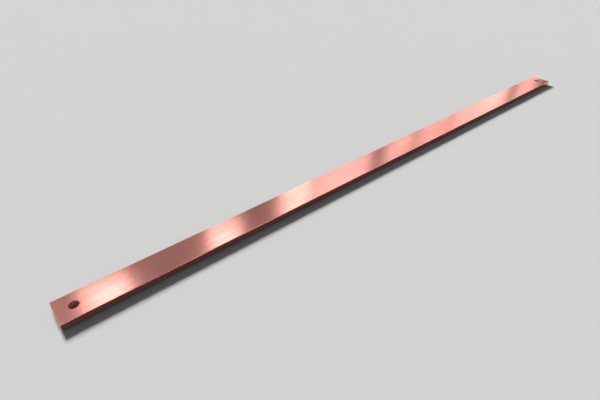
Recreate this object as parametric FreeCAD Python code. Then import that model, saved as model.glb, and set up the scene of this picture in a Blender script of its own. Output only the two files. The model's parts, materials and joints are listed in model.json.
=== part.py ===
"""Flat copper bus bar with one clearance hole at each end.

One drawn length of rectangular copper: rounded long edges from the drawing die,
square sawn ends with broken edges, and a deburred bolt hole near each end.
The bar lies on its wide face: X runs along it, Y across it, Z up.
The origin is the middle of the underside. All sizes are in millimetres.
"""

import FreeCAD
import Part

import os

# Stock: the drawn flat bar
BAR_LENGTH = 1110.0
BAR_WIDTH = 40.0
BAR_THICKNESS = 10.0
LONG_EDGE_RADIUS = 0.6

# Sawn ends: the burr is taken off all round
END_CHAMFER = 0.4

# Bolt holes: coarse clearance for M10, on the bar's centre line
HOLE_DIAMETER = 12.0
HOLE_TO_END = 20.0
HOLE_CHAMFER = 0.3

# How far a cutting tool runs past the face it cuts
TOOL_OVERRUN = 1.0
# How near a vertex must be to an end plane to belong to it
PLANE_TOLERANCE = 1e-6

FULL_TURN = 360.0


def drawn_section():
    """The bar's cross section at its left end: a rectangle with die-rounded corners."""
    left = -BAR_LENGTH / 2
    half_width = BAR_WIDTH / 2
    flat_y = half_width - LONG_EDGE_RADIUS
    low_z = LONG_EDGE_RADIUS
    high_z = BAR_THICKNESS - LONG_EDGE_RADIUS
    # the middle of a quarter-round corner stands this far in from both of its faces
    corner_inset = LONG_EDGE_RADIUS * (1 - 0.5 ** 0.5)
    mid_y = half_width - corner_inset
    mid_low_z = corner_inset
    mid_high_z = BAR_THICKNESS - corner_inset

    def point(y, z):
        return FreeCAD.Vector(left, y, z)

    outline = [
        Part.LineSegment(point(-flat_y, 0), point(flat_y, 0)),
        Part.Arc(point(flat_y, 0), point(mid_y, mid_low_z), point(half_width, low_z)),
        Part.LineSegment(point(half_width, low_z), point(half_width, high_z)),
        Part.Arc(point(half_width, high_z), point(mid_y, mid_high_z), point(flat_y, BAR_THICKNESS)),
        Part.LineSegment(point(flat_y, BAR_THICKNESS), point(-flat_y, BAR_THICKNESS)),
        Part.Arc(point(-flat_y, BAR_THICKNESS), point(-mid_y, mid_high_z), point(-half_width, high_z)),
        Part.LineSegment(point(-half_width, high_z), point(-half_width, low_z)),
        Part.Arc(point(-half_width, low_z), point(-mid_y, mid_low_z), point(-flat_y, 0)),
    ]
    return Part.Face(Part.Wire([piece.toShape() for piece in outline]))


def drawn_stock():
    """The section drawn out to the bar's full length."""
    return drawn_section().extrude(FreeCAD.Vector(BAR_LENGTH, 0, 0))


def break_end_edges(bar):
    """Takes the sharp edge off both sawn ends, all round."""
    end_x = BAR_LENGTH / 2

    def on_an_end(edge):
        return all(abs(abs(vertex.X) - end_x) < PLANE_TOLERANCE for vertex in edge.Vertexes)

    return bar.makeChamfer(END_CHAMFER, [edge for edge in bar.Edges if on_an_end(edge)])


def hole_cutter(centre_x):
    """A drill with a 45 degree countersink at both faces, stood through the bar at centre_x."""
    radius = HOLE_DIAMETER / 2
    below = -TOOL_OVERRUN
    above = BAR_THICKNESS + TOOL_OVERRUN
    flare = radius + HOLE_CHAMFER + TOOL_OVERRUN
    profile = [
        (0, below),
        (flare, below),
        (radius, HOLE_CHAMFER),
        (radius, BAR_THICKNESS - HOLE_CHAMFER),
        (flare, above),
        (0, above),
    ]
    corners = [FreeCAD.Vector(centre_x + r, 0, z) for r, z in profile]
    half_section = Part.Face(Part.makePolygon(corners + corners[:1]))
    axis_point = FreeCAD.Vector(centre_x, 0, 0)
    return half_section.revolve(axis_point, FreeCAD.Vector(0, 0, 1), FULL_TURN)


def bus_bar():
    """The finished bar: drawn, sawn, deburred and drilled."""
    hole_x = BAR_LENGTH / 2 - HOLE_TO_END
    bar = break_end_edges(drawn_stock())
    return bar.cut([hole_cutter(-hole_x), hole_cutter(hole_x)])


def main():
    """Writes the one sub-part and says what it measures."""
    os.makedirs("parts", exist_ok=True)
    shape = bus_bar()
    if not shape.isValid() or len(shape.Solids) != 1:
        raise RuntimeError("the bus bar is not one valid solid")
    solid = shape.Solids[0]
    solid.exportStep("parts/bus_bar.step")
    print(f"bus_bar: {solid.Volume / 1000:.2f} cm3, {len(solid.Faces)} faces, {solid.BoundBox}")


main()
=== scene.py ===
"""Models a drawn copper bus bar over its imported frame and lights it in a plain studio.

The file is laid out as an add-on and is run as a script. Lengths are in metres, as in
the frame, and small ones are written in millimetres times MM.
"""

import json
import math

import bmesh
import bpy
from bpy.props import FloatProperty, FloatVectorProperty, IntProperty, PointerProperty
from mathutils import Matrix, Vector


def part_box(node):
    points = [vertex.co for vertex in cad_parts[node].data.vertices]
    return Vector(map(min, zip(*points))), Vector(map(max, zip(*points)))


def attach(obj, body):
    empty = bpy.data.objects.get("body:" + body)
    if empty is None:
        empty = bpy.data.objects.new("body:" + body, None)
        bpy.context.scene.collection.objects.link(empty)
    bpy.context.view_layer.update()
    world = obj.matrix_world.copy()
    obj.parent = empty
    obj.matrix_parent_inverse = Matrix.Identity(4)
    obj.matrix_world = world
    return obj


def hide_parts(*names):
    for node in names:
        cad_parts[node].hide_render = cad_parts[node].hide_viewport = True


bl_info = {
    "name": "Copper Bus Bar",
    "version": (1, 0, 0),
    "blender": (4, 5, 0),
    "location": "View3D > Sidebar > Bus Bar",
    "description": "Models a drawn copper bus bar and the studio around it",
    "category": "Object",
}

MM = 0.001

# What the frame says of the bar
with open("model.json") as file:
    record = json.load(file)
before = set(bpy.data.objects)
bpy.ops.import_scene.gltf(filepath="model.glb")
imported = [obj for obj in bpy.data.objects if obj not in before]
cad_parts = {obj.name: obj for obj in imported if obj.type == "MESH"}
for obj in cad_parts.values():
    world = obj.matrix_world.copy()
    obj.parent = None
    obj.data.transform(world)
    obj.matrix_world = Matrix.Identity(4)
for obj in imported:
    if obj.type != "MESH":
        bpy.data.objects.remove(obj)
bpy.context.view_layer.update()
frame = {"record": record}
BAR_LOW, BAR_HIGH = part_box("bus_bar")
BAR_MIDDLE = (BAR_LOW + BAR_HIGH) / 2
BAR_SIZE = BAR_HIGH - BAR_LOW
BORES = [mount for mount in frame["record"]["mounts"] if mount["kind"] == "bore"]
HOLE_CENTRES = [Vector(bore["pos_m"]) for bore in BORES]
HOLE_RADIUS = BORES[0]["dims"]["r_mm"] * MM
HOLE_WALL = BORES[0]["dims"]["length_mm"] * MM

# The mesh is cut across into two end sections, each with a hole in its middle, and these between them
END_SECTION = 2 * (BAR_HIGH.x - max(centre.x for centre in HOLE_CENTRES))
MIDDLE_SECTIONS = 12
# Flats that make up the quarter round of a long edge
EDGE_STEPS = 8
# Faces that meet at less than this angle are shaded as one, and large ones keep their own normal
SMOOTH_ANGLE = math.radians(30)
LARGE_FACE_WEIGHT = 100
# How near a point must be to a plane or a circle to belong to it
NEAR = 0.01 * MM
# A face belongs to an end if its normal points along the bar by more than this share
ENDWAYS = 0.5

# Marks on the drawn faces: length along the bar, width across it and depth
DIE_LINE_LENGTH = 80 * MM
DIE_LINE_DEPTH = 0.006 * MM
STREAK_LENGTH = 400 * MM
STREAK_WIDTH = 3 * MM
STREAK_DEPTH = 0.005 * MM
CLOUD_LENGTH = 90 * MM
CLOUD_WIDTH = 30 * MM
# Levels of the noise between which clouds and streaks come out, and how far a streak alone tarnishes
CLOUD_LEVELS = (0.4, 0.7)
STREAK_LEVELS = (0.3, 0.7)
STREAK_TARNISH = 0.3
# Handling keeps the metal clean up to the first distance from a long edge, and reaches to the second
RUBBED_CLEAN = 0.3 * MM
RUBBED_REACH = 1.6 * MM
# The saw blade's centre, about 150 mm from the middle of the ends
BLADE_CENTRE = (0, 60 * MM, -135 * MM)
SAW_MARK_DEPTH = 0.02 * MM
DRILL_MARK_DEPTH = 0.008 * MM
# How rough a face is where it is cleanest and where it is dullest, as shares of its own roughness
DRAWN_SPREAD = (0.9, 1.25)
CUT_SPREAD = (0.9, 1.1)
# One turn of a wave texture at scale 1 is this long
WAVE_TURN = math.pi / 10

# The bar mirrors upright panels in a ring round the camera, a low row behind the bar and a row overhead.
# Headings and widths on the ring are in degrees as seen from the camera, 0 being straight across the bar
RING_RADIUS = 6.0
RING_FOOT = 0.6
RING_TOP = 8.0
# The panels behind the bar, each placed one by one: heading, width, height of the foot, brightness
BACK_PANELS = [
    (-6.0, 10.0, 3.5, 0.4),
    (6.4, 7.5, 4.9, 2.6),
    (17.0, 10.0, 3.5, 0.1),
    (27.1, 5.1, 4.3, 2.75),
    (39.4, 4.6, 2.0, 2.3),
    (46.7, 8.3, 1.0, 1.2),
    (54.8, 3.6, RING_FOOT, 1.1),
    (59.2, 3.7, RING_FOOT, 1.05),
    (63.1, 3.2, RING_FOOT, 1.2),
    (65.8, 2.5, RING_FOOT, 1.6),
    (69.0, 2.0, RING_FOOT, 1.05),
]
# The panels round the rest of the ring are alike and evenly spaced
FRONT_PANELS = 21
FRONT_FIRST = 86.0
FRONT_STEP = 12.5
FRONT_WIDTH = 7.0
FRONT_LEVEL = 1.3
# A second layer straight behind the camera, which draws a light band down the wall of the near hole
REAR_HEADING = 178.5
REAR_WIDTH = 22.0
REAR_FOOT = 1.5
REAR_LEVEL = 0.95
# The walls of the dim room, which show between the bright panels, each just wide enough to meet the next
WALLS = 6
WALL_STEP = 360 / WALLS
WALL_WIDTH = math.degrees(2 * math.tan(math.pi / WALLS))
WALL_LEVEL = 0.13
# The low row behind the bar, for views from straight in front
LOW_PLACES = (-3.0, -1.8, -0.6, 0.6, 1.8, 3.0)
LOW_SIZE = (0.7, 2.8)
LOW_DISTANCE = 5.0
LOW_HEIGHT = 1.9
LOW_LEVEL = 1.3
# The row overhead, for views from above
OVERHEAD_PLACES = (-1.5, -0.5, 0.5, 1.5)
OVERHEAD_SIZE = (0.65, 1.0)
OVERHEAD_HEIGHT = 2.4
OVERHEAD_LEVEL = 0.9
# The key lamp stands behind the bar, so that the floor in front of its side lies in shadow
KEY_HEADING = math.radians(4)
KEY_HEIGHT = math.radians(32)
KEY_SPREAD = math.radians(16)
# The room is light up to the first of these heights and dim from the second, as sines of the angle
ROOM_FADE = (0.18, 0.28)
FLOOR_SIZE = 60.0
# The sensor that the focal length goes with, in millimetres
SENSOR_WIDTH = 36.0


def linear(hex_colour):
    """An sRGB colour such as #F3A99E as linear red, green and blue."""
    channels = [int(hex_colour[i:i + 2], 16) / 255 for i in (1, 3, 5)]
    return [c / 12.92 if c <= 0.04045 else ((c + 0.055) / 1.055) ** 2.4 for c in channels]


class BarSizes(bpy.types.PropertyGroup):
    """What the saw, the die and the drill leave on the bar's edges."""

    long_edge_radius: FloatProperty(
        name="Long edge radius",
        description="Rounding that the drawing die gives the four long edges",
        default=0.6 * MM,
        unit="LENGTH",
    )
    end_chamfer: FloatProperty(
        name="End chamfer",
        description="Edge taken off all round both sawn ends",
        default=0.4 * MM,
        unit="LENGTH",
    )
    hole_radius: FloatProperty(
        name="Hole radius",
        description="Radius of the bolt hole near each end",
        default=HOLE_RADIUS,
        unit="LENGTH",
    )
    hole_chamfer: FloatProperty(
        name="Hole chamfer",
        description="Edge taken off the mouth of each hole",
        default=(BAR_SIZE.z - HOLE_WALL) / 2,
        unit="LENGTH",
    )
    hole_sides: IntProperty(
        name="Hole sides",
        description="Flats that make up the round wall of a hole",
        default=96,
    )


class CopperFinish(bpy.types.PropertyGroup):
    """The copper's colours and the marks left by how each face was made."""

    copper: FloatVectorProperty(
        name="Copper",
        description="Colour of the clean metal",
        subtype="COLOR",
        default=linear("#F3A99E"),
    )
    tarnish: FloatVectorProperty(
        name="Tarnish",
        description="Colour of the metal where air and handling have dulled it",
        subtype="COLOR",
        default=linear("#E39486"),
    )
    glancing: FloatVectorProperty(
        name="Glancing tint",
        description="Tint that the metal keeps where it is seen at a glancing angle",
        subtype="COLOR",
        default=linear("#FCE4E1"),
    )
    tarnish_amount: FloatProperty(
        name="Tarnish amount",
        description="How far the dullest clouds on the drawn faces go from clean to tarnished",
        subtype="FACTOR",
        default=0.5,
    )
    drawn_roughness: FloatProperty(
        name="Drawn roughness",
        description="How much the drawn faces blur what they mirror",
        subtype="FACTOR",
        default=0.14,
    )
    sawn_roughness: FloatProperty(
        name="Sawn roughness",
        description="How much the sawn ends blur what they mirror",
        subtype="FACTOR",
        default=0.34,
    )
    drilled_roughness: FloatProperty(
        name="Drilled roughness",
        description="How much the walls of the holes blur what they mirror",
        subtype="FACTOR",
        default=0.315,
    )
    die_line_pitch: FloatProperty(
        name="Die line pitch",
        description="Spacing of the lines that the die draws along the bar",
        default=0.6 * MM,
        unit="LENGTH",
    )
    saw_mark_pitch: FloatProperty(
        name="Saw mark pitch",
        description="Spacing of the arcs that the saw leaves on the ends",
        default=0.8 * MM,
        unit="LENGTH",
    )
    drill_mark_pitch: FloatProperty(
        name="Drill mark pitch",
        description="Spacing of the rings that the drill leaves in the holes",
        default=0.35 * MM,
        unit="LENGTH",
    )


class StudioLook(bpy.types.PropertyGroup):
    """The floor, the light levels and the camera."""

    floor: FloatVectorProperty(
        name="Floor",
        description="Colour of the pale floor",
        subtype="COLOR",
        default=linear("#E8E8E6"),
    )
    dome_level: FloatProperty(
        name="Dome level",
        description="Brightness of the room above the horizon, where 1 is white",
        default=0.08,
    )
    horizon_level: FloatProperty(
        name="Horizon level",
        description="Brightness of the room at the horizon, where 1 is white",
        default=0.66,
    )
    key_strength: FloatProperty(
        name="Key strength",
        description="Light that falls square on from the key lamp, in watts per square metre",
        default=4.15,
    )
    camera_place: FloatVectorProperty(
        name="Camera place",
        description="Where the camera stands",
        subtype="TRANSLATION",
        default=(-0.545, -0.3954, 0.3715),
    )
    camera_heading: FloatProperty(
        name="Camera heading",
        description="Turn of the camera from looking straight across the bar towards its right end",
        subtype="ANGLE",
        default=math.radians(40.08),
    )
    camera_dip: FloatProperty(
        name="Camera dip",
        description="How far below level the camera looks",
        subtype="ANGLE",
        default=math.radians(35.63),
    )
    camera_lens: FloatProperty(
        name="Camera lens",
        description="Focal length on a 36 mm sensor, in millimetres",
        default=25.41,
    )


def add_node(tree, kind, settings=None, **inputs):
    """Adds a node with its settings and feeds its inputs with plain values, sockets or other nodes.

    An input goes by its identifier, with _ for a space, and a node gives its first output in use.
    """
    made = tree.nodes.new(kind)
    for name, value in (settings or {}).items():
        setattr(made, name, value)
    sockets = {socket.identifier.replace(" ", "_"): socket for socket in made.inputs}
    for name, value in inputs.items():
        if isinstance(value, bpy.types.Node):
            value = next(socket for socket in value.outputs if socket.enabled)
        if isinstance(value, bpy.types.NodeSocket):
            tree.links.new(value, sockets[name])
        else:
            sockets[name].default_value = value
    return made


def new_material(name):
    """A named material with an empty node tree, and that tree."""
    material = bpy.data.materials.new(name)
    material.use_nodes = True
    material.node_tree.nodes.clear()
    return material, material.node_tree


def marks_along(tree, place, length, width):
    """Uneven marks of about this length along the bar and this width across it."""
    size = add_node(
        tree, "ShaderNodeMapping", {"vector_type": "TEXTURE"}, Vector=place, Scale=(length, width, width),
    )
    return add_node(tree, "ShaderNodeTexNoise", Vector=size, Scale=1, Detail=2)


def copper_surface(tree, finish, dullness, roughness, spread, bump, **special):
    """Ends the node tree of a copper finish.

    As dullness goes from 0 to 1, the colour goes from clean to tarnished, and the roughness
    from the first share in spread to the second.
    """
    cleanest, dullest = spread
    colour = add_node(
        tree, "ShaderNodeMix", {"data_type": "RGBA"},
        Factor_Float=dullness, A_Color=(*finish.copper, 1), B_Color=(*finish.tarnish, 1),
    )
    blur = add_node(
        tree, "ShaderNodeMapRange",
        Value=dullness, To_Min=cleanest * roughness, To_Max=dullest * roughness,
    )
    metal = add_node(
        tree, "ShaderNodeBsdfPrincipled", Base_Color=colour, Metallic=1, Roughness=blur,
        Specular_Tint=(*finish.glancing, 1), Normal=bump, **special,
    )
    add_node(tree, "ShaderNodeOutputMaterial", Surface=metal)


def drawn_copper(finish):
    """Bright drawn copper, as the die leaves it.

    The eye gets broad soft reflections, fine lines along the bar, faint streaks and dull clouds
    in the colour, and long edges that handling has rubbed a little paler and smoother.
    """
    material, tree = new_material("drawn_copper")
    place = add_node(tree, "ShaderNodeTexCoord").outputs["Object"]
    # The die lines are coarser than the real ones, so that they show from close by
    lines = marks_along(tree, place, DIE_LINE_LENGTH, finish.die_line_pitch)
    streaks = marks_along(tree, place, STREAK_LENGTH, STREAK_WIDTH)
    clouds = marks_along(tree, place, CLOUD_LENGTH, CLOUD_WIDTH)

    # How far a point is from the nearest long edge, measured across the bar
    centred = add_node(
        tree, "ShaderNodeVectorMath", {"operation": "SUBTRACT"}, Vector=place, Vector_001=BAR_MIDDLE,
    )
    outward = add_node(tree, "ShaderNodeVectorMath", {"operation": "ABSOLUTE"}, Vector=centred)
    inward = add_node(
        tree, "ShaderNodeVectorMath", {"operation": "SUBTRACT"}, Vector=BAR_SIZE / 2, Vector_001=outward,
    )
    across = add_node(
        tree, "ShaderNodeVectorMath", {"operation": "MULTIPLY"}, Vector=inward, Vector_001=(0, 1, 1),
    )
    to_edge = add_node(tree, "ShaderNodeVectorMath", {"operation": "LENGTH"}, Vector=across)
    unrubbed = add_node(
        tree, "ShaderNodeMapRange", {"interpolation_type": "SMOOTHSTEP"},
        Value=to_edge.outputs["Value"], From_Min=RUBBED_CLEAN, From_Max=RUBBED_REACH,
    )

    clouded = add_node(
        tree, "ShaderNodeMapRange",
        Value=clouds, From_Min=CLOUD_LEVELS[0], From_Max=CLOUD_LEVELS[1], To_Max=finish.tarnish_amount,
    )
    streaked = add_node(
        tree, "ShaderNodeMapRange",
        Value=streaks, From_Min=STREAK_LEVELS[0], From_Max=STREAK_LEVELS[1], To_Max=STREAK_TARNISH,
    )
    stained = add_node(tree, "ShaderNodeMath", {"operation": "ADD"}, Value=clouded, Value_001=streaked)
    dullness = add_node(
        tree, "ShaderNodeMath", {"operation": "MULTIPLY"}, Value=stained, Value_001=unrubbed,
    )
    streak_bump = add_node(tree, "ShaderNodeBump", Height=streaks, Distance=STREAK_DEPTH)
    bump = add_node(tree, "ShaderNodeBump", Height=lines, Distance=DIE_LINE_DEPTH, Normal=streak_bump)
    copper_surface(tree, finish, dullness, finish.drawn_roughness, DRAWN_SPREAD, bump)
    return material


def sawn_copper(finish):
    """Copper as a circular saw leaves it: a satin face crossed by shallow arcs of the blade's radius."""
    material, tree = new_material("sawn_copper")
    place = add_node(tree, "ShaderNodeTexCoord").outputs["Object"]
    # The arcs are coarser than the real ones, so that they show from close by
    pitch = finish.saw_mark_pitch
    from_blade = add_node(
        tree, "ShaderNodeMapping", {"vector_type": "TEXTURE"},
        Vector=place, Location=BLADE_CENTRE, Scale=(pitch, pitch, pitch),
    )
    arcs = add_node(
        tree, "ShaderNodeTexWave", {"wave_type": "RINGS", "rings_direction": "X"},
        Vector=from_blade, Scale=WAVE_TURN, Distortion=1.5, Detail=2, Detail_Scale=0.3,
    )
    bump = add_node(tree, "ShaderNodeBump", Height=arcs, Distance=SAW_MARK_DEPTH)
    copper_surface(tree, finish, arcs, finish.sawn_roughness, CUT_SPREAD, bump)
    return material


def drilled_copper(finish):
    """Copper as a twist drill leaves it.

    The eye gets a satin wall ringed by the marks of the drill's feed, which draw out what they
    mirror into upright streaks.
    """
    material, tree = new_material("drilled_copper")
    place = add_node(tree, "ShaderNodeTexCoord").outputs["Object"]
    # The rings are coarser than the real ones, so that they show from close by
    pitch = finish.drill_mark_pitch
    fed_down = add_node(
        tree, "ShaderNodeMapping", {"vector_type": "TEXTURE"}, Vector=place, Scale=(pitch, pitch, pitch),
    )
    rings = add_node(
        tree, "ShaderNodeTexWave", {"wave_type": "BANDS", "bands_direction": "Z"},
        Vector=fed_down, Scale=WAVE_TURN, Distortion=0.8, Detail=1, Detail_Scale=0.2,
    )
    bump = add_node(tree, "ShaderNodeBump", Height=rings, Distance=DRILL_MARK_DEPTH)
    upright = add_node(tree, "ShaderNodeCombineXYZ", Z=1)
    copper_surface(
        tree, finish, rings, finish.drilled_roughness, CUT_SPREAD, bump, Anisotropic=1, Tangent=upright,
    )
    return material


def studio_floor(look):
    """Matt painted boards: a pale even ground with hardly any gloss."""
    material, tree = new_material("studio_floor")
    paint = add_node(
        tree, "ShaderNodeBsdfPrincipled",
        Base_Color=(*look.floor, 1), Roughness=0.9, Specular_IOR_Level=0.1,
    )
    add_node(tree, "ShaderNodeOutputMaterial", Surface=paint)
    return material


def near(value, *places):
    """True if value is at one of these places."""
    return any(abs(value - place) < NEAR for place in places)


def corners(part):
    """Where the corners of an edge or a face are."""
    return [vertex.co for vertex in part.verts]


def on_wide_face(edge):
    """True if the edge lies on the top or the underside."""
    return all(near(corner.z, BAR_LOW.z, BAR_HIGH.z) for corner in corners(edge))


def select_parts(bar, kind, wanted):
    """Opens the bar in edit mode with just those edges or faces selected that wanted accepts."""
    bpy.ops.object.mode_set(mode="EDIT")
    bpy.ops.mesh.select_mode(type=kind)
    bpy.ops.mesh.select_all(action="DESELECT")
    mesh = bmesh.from_edit_mesh(bar.data)
    parts = mesh.edges if kind == "EDGE" else mesh.faces
    for part in parts:
        if wanted(part):
            part.select_set(True)
    bmesh.update_edit_mesh(bar.data)


def bevel_edges(bar, wanted, offset, segments):
    """Bevels the edges that wanted accepts."""
    select_parts(bar, "EDGE", wanted)
    bpy.ops.mesh.bevel(offset=offset, segments=segments, affect="EDGES", clamp_overlap=False)
    bpy.ops.object.mode_set(mode="OBJECT")


def add_stock():
    """A plain length of flat bar at its size and place, cut across into sections."""
    bpy.ops.object.select_all(action="DESELECT")
    bpy.ops.mesh.primitive_cube_add(size=1, location=BAR_MIDDLE, scale=BAR_SIZE)
    bar = bpy.context.object
    bar.name = "drawn_bar"
    bpy.ops.object.transform_apply(location=True, rotation=False, scale=True)
    bpy.ops.object.mode_set(mode="EDIT")
    first = BAR_LOW.x + END_SECTION
    step = (BAR_SIZE.x - 2 * END_SECTION) / MIDDLE_SECTIONS
    for number in range(MIDDLE_SECTIONS + 1):
        bpy.ops.mesh.select_all(action="SELECT")
        bpy.ops.mesh.bisect(plane_co=(first + number * step, 0, 0), plane_no=(1, 0, 0))
    bpy.ops.object.mode_set(mode="OBJECT")
    return bar


def round_long_edges(bar, sizes):
    """Rounds the four long edges as the drawing die does."""

    def on_long_edge(edge):
        start, end = corners(edge)
        along = abs(end.x - start.x) > NEAR
        outside = all(near(corner.y, BAR_LOW.y, BAR_HIGH.y) for corner in (start, end))
        return along and outside and on_wide_face(edge)

    bevel_edges(bar, on_long_edge, sizes.long_edge_radius, EDGE_STEPS)


def break_end_edges(bar, sizes):
    """Takes the sharp edge off both sawn ends, all round."""

    def on_end(edge):
        return all(near(corner.x, BAR_LOW.x, BAR_HIGH.x) for corner in corners(edge))

    bevel_edges(bar, on_end, sizes.end_chamfer, 1)


def drill_hole(bar, centre, sizes):
    """Drills one hole through the bar and takes the edge off its two mouths."""
    bpy.ops.object.select_all(action="DESELECT")
    bpy.ops.mesh.primitive_cylinder_add(
        vertices=sizes.hole_sides, radius=sizes.hole_radius, depth=2 * BAR_SIZE.z, location=centre,
    )
    drill = bpy.context.object
    bpy.ops.object.select_all(action="DESELECT")
    bar.select_set(True)
    bpy.context.view_layer.objects.active = bar
    cut = bar.modifiers.new("drilled hole", "BOOLEAN")
    cut.operation = "DIFFERENCE"
    cut.solver = "EXACT"
    cut.object = drill
    bpy.ops.object.modifier_apply(modifier=cut.name)
    bpy.data.objects.remove(drill)

    def on_mouth(edge):
        on_circle = all(near((corner - centre).xy.length, sizes.hole_radius) for corner in corners(edge))
        return on_circle and on_wide_face(edge)

    bevel_edges(bar, on_mouth, sizes.hole_chamfer, 1)


def smooth_faces(bar):
    """Shades the rounded edges smooth and leaves the flat faces flat up to them."""
    bpy.ops.object.shade_smooth_by_angle(angle=SMOOTH_ANGLE)
    weighted = bar.modifiers.new("flat faces stay flat", "WEIGHTED_NORMAL")
    weighted.keep_sharp = True
    weighted.weight = LARGE_FACE_WEIGHT
    bpy.ops.object.modifier_apply(modifier=weighted.name)


def give_finish(bar, material, wanted):
    """Gives this material to the faces that wanted accepts."""
    bar.data.materials.append(material)
    bar.active_material_index = len(bar.data.materials) - 1
    select_parts(bar, "FACE", wanted)
    bpy.ops.object.material_slot_assign()
    bpy.ops.object.mode_set(mode="OBJECT")


def finish_faces(bar, sizes, finish):
    """Finishes the long faces as drawn, the ends as sawn and the holes as drilled."""
    mouth = sizes.hole_radius + sizes.hole_chamfer + NEAR

    def everywhere(face):
        return True

    def at_an_end(face):
        return abs(face.normal.x) > ENDWAYS

    def in_a_hole(face):
        return any(
            all((corner - centre).xy.length < mouth for corner in corners(face)) for centre in HOLE_CENTRES
        )

    give_finish(bar, drawn_copper(finish), everywhere)
    give_finish(bar, sawn_copper(finish), at_an_end)
    give_finish(bar, drilled_copper(finish), in_a_hole)


class BUSBAR_OT_model_bar(bpy.types.Operator):
    """Model the drawn bar with its rounded edges and drilled holes"""

    bl_idname = "busbar.model_bar"
    bl_label = "Model Bar"

    def execute(self, context):
        sizes = context.scene.bus_bar_sizes
        finish = context.scene.bus_bar_finish
        bar = add_stock()
        round_long_edges(bar, sizes)
        break_end_edges(bar, sizes)
        for centre in HOLE_CENTRES:
            drill_hole(bar, centre, sizes)
        smooth_faces(bar)
        finish_faces(bar, sizes, finish)
        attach(bar, "root")
        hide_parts("bus_bar")
        return {"FINISHED"}


def lay_floor(look):
    """A wide pale floor under the bar."""
    bpy.ops.object.select_all(action="DESELECT")
    bpy.ops.mesh.primitive_plane_add(size=FLOOR_SIZE, location=(0, 0, BAR_LOW.z))
    floor = bpy.context.object
    floor.name = "floor"
    floor.data.materials.append(studio_floor(look))


def level_way(heading):
    """The level direction at a heading in radians, from straight across the bar towards its right end."""
    return Vector((math.sin(heading), math.cos(heading), 0))


def hang_panel(name, place, facing, size, level):
    """Hangs a flat lamp for the metal to mirror, whose face looks level bright, where 1 is white."""
    bpy.ops.object.light_add(type="AREA", location=place)
    lamp = bpy.context.object
    lamp.name = name
    lamp.rotation_euler = facing.to_track_quat("-Z", "Y").to_euler()
    lamp.data.shape = "RECTANGLE"
    lamp.data.size, lamp.data.size_y = size
    lamp.data.energy = level * math.pi * size[0] * size[1]
    lamp.visible_camera = False
    # The floor is lit evenly, by the key and the room alone
    lamp.visible_diffuse = False


def stand_panel(name, middle, heading, width, foot, level):
    """Stands a panel on the ring round middle, facing in."""
    out = level_way(math.radians(heading))
    place = middle + RING_RADIUS * out + Vector((0, 0, (foot + RING_TOP) / 2))
    size = (RING_RADIUS * math.radians(width), RING_TOP - foot)
    hang_panel(name, place, -out, size, level)


def hang_panels(look):
    """The panels that the bar mirrors: the ring with its walls, the low row and the row overhead."""
    middle = Vector((look.camera_place[0], look.camera_place[1], 0))
    for number, (heading, width, foot, level) in enumerate(BACK_PANELS):
        stand_panel(f"back_panel_{number}", middle, heading, width, foot, level)
    for number in range(FRONT_PANELS):
        heading = FRONT_FIRST + number * FRONT_STEP
        stand_panel(f"front_panel_{number}", middle, heading, FRONT_WIDTH, RING_FOOT, FRONT_LEVEL)
    stand_panel("rear_panel", middle, REAR_HEADING, REAR_WIDTH, REAR_FOOT, REAR_LEVEL)
    for number in range(WALLS):
        stand_panel(f"wall_{number}", middle, number * WALL_STEP, WALL_WIDTH, RING_FOOT, WALL_LEVEL)
    for number, x in enumerate(LOW_PLACES):
        behind = Vector((x, LOW_DISTANCE, LOW_HEIGHT))
        hang_panel(f"low_panel_{number}", behind, Vector((0, -1, 0)), LOW_SIZE, LOW_LEVEL)
    for number, x in enumerate(OVERHEAD_PLACES):
        above = Vector((x, 0, OVERHEAD_HEIGHT))
        hang_panel(f"overhead_panel_{number}", above, Vector((0, 0, -1)), OVERHEAD_SIZE, OVERHEAD_LEVEL)


def hang_key(look):
    """A broad key lamp from behind, which lights the floor."""
    bpy.ops.object.light_add(type="SUN")
    key = bpy.context.object
    key.name = "key"
    towards = math.cos(KEY_HEIGHT) * level_way(KEY_HEADING) + Vector((0, 0, math.sin(KEY_HEIGHT)))
    key.rotation_euler = (-towards).to_track_quat("-Z", "Y").to_euler()
    key.data.energy = look.key_strength
    key.data.angle = KEY_SPREAD
    # The bar mirrors the panels and not the key, which would be one hard glint
    key.visible_glossy = False


def fill_room(look):
    """A dim room with a lighter horizon."""
    world = bpy.data.worlds.new("dim_room")
    bpy.context.scene.world = world
    world.use_nodes = True
    tree = world.node_tree
    tree.nodes.clear()
    direction = add_node(tree, "ShaderNodeTexCoord").outputs["Generated"]
    up = add_node(tree, "ShaderNodeSeparateXYZ", Vector=direction).outputs["Z"]
    strength = add_node(
        tree, "ShaderNodeMapRange", {"interpolation_type": "SMOOTHSTEP"}, Value=up,
        From_Min=ROOM_FADE[0], From_Max=ROOM_FADE[1], To_Min=look.horizon_level, To_Max=look.dome_level,
    )
    background = add_node(tree, "ShaderNodeBackground", Color=(1, 1, 1, 1), Strength=strength)
    add_node(tree, "ShaderNodeOutputWorld", Surface=background)


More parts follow.
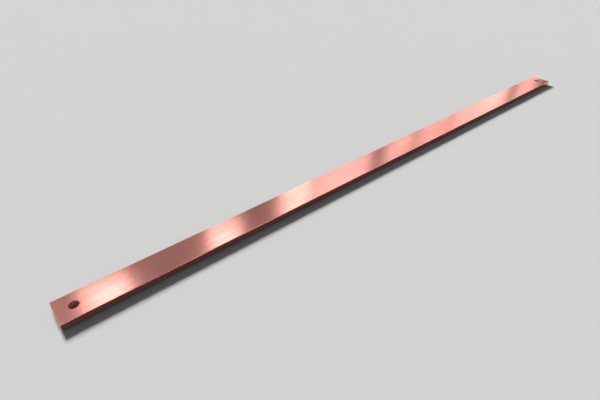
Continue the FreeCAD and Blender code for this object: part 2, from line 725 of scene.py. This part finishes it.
def set_camera(look):
    """A camera at the picture's place and angle."""
    turn = (math.pi / 2 - look.camera_dip, 0, -look.camera_heading)
    bpy.ops.object.camera_add(location=look.camera_place, rotation=turn)
    camera = bpy.context.object
    camera.data.lens = look.camera_lens
    camera.data.sensor_width = SENSOR_WIDTH
    bpy.context.scene.camera = camera


class BUSBAR_OT_set_stage(bpy.types.Operator):
    """Lay the floor, light the studio and place the camera"""

    bl_idname = "busbar.set_stage"
    bl_label = "Set Stage"

    def execute(self, context):
        look = context.scene.bus_bar_studio
        lay_floor(look)
        hang_panels(look)
        hang_key(look)
        fill_room(look)
        set_camera(look)
        # The metal throws no patches of light on the floor
        context.scene.cycles.caustics_reflective = False
        context.scene.view_settings.view_transform = "Standard"
        return {"FINISHED"}


class BUSBAR_PT_sidebar(bpy.types.Panel):
    """Lists the bar's sizes, its finish and the studio"""

    bl_idname = "BUSBAR_PT_sidebar"
    bl_label = "Bus Bar"
    bl_space_type = "VIEW_3D"
    bl_region_type = "UI"
    bl_category = "Bus Bar"

    def draw(self, context):
        scene = context.scene
        for group in (scene.bus_bar_sizes, scene.bus_bar_finish):
            for name in group.__annotations__:
                self.layout.prop(group, name)
        self.layout.operator(BUSBAR_OT_model_bar.bl_idname)
        for name in scene.bus_bar_studio.__annotations__:
            self.layout.prop(scene.bus_bar_studio, name)
        self.layout.operator(BUSBAR_OT_set_stage.bl_idname)


CLASSES = [
    BarSizes,
    CopperFinish,
    StudioLook,
    BUSBAR_OT_model_bar,
    BUSBAR_OT_set_stage,
    BUSBAR_PT_sidebar,
]


def register():
    """Registers the classes and gives the scene their settings."""
    for cls in CLASSES:
        bpy.utils.register_class(cls)
    bpy.types.Scene.bus_bar_sizes = PointerProperty(type=BarSizes)
    bpy.types.Scene.bus_bar_finish = PointerProperty(type=CopperFinish)
    bpy.types.Scene.bus_bar_studio = PointerProperty(type=StudioLook)


def unregister():
    """Takes the settings off the scene and the classes out again."""
    del bpy.types.Scene.bus_bar_studio
    del bpy.types.Scene.bus_bar_finish
    del bpy.types.Scene.bus_bar_sizes
    for cls in reversed(CLASSES):
        bpy.utils.unregister_class(cls)


def main():
    """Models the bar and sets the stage."""
    register()
    bpy.ops.busbar.model_bar()
    bpy.ops.busbar.set_stage()


if __name__ == "__main__":
    main()
